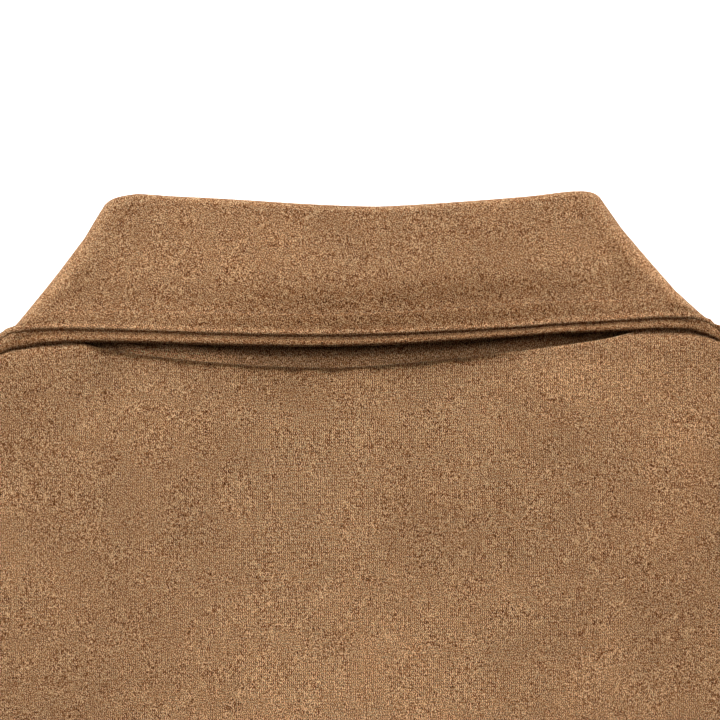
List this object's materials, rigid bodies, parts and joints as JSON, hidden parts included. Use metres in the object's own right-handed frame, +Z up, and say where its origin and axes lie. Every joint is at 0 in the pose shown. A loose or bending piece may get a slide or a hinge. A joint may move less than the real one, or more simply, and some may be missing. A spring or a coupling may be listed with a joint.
{
  "type": "suede jacket",
  "caption": "Suede shirt jacket with a turned-down collar, lying flat and face down with its back up.",
  "frame": {"origin": "on the surface it lies on, under the middle of the whole jacket", "axes": "+X across the back towards the wearer's right sleeve, +Y from hem to collar, +Z up from the surface"},
  "size_m": [1.4112, 0.741, 0.019],
  "materials": {
    "suede": "matte napped suede",
    "button": "satin"
  },
  "bodies": {
    "root": {"back": "suede", "front_left": "suede", "front_right": "suede", "sleeve_left": "suede", "sleeve_right": "suede", "collar_stand": "suede", "collar_fall": "suede", "button_1": "button", "button_2": "button", "button_3": "button", "button_4": "button", "button_5": "button"}
  },
  "joints": []
}
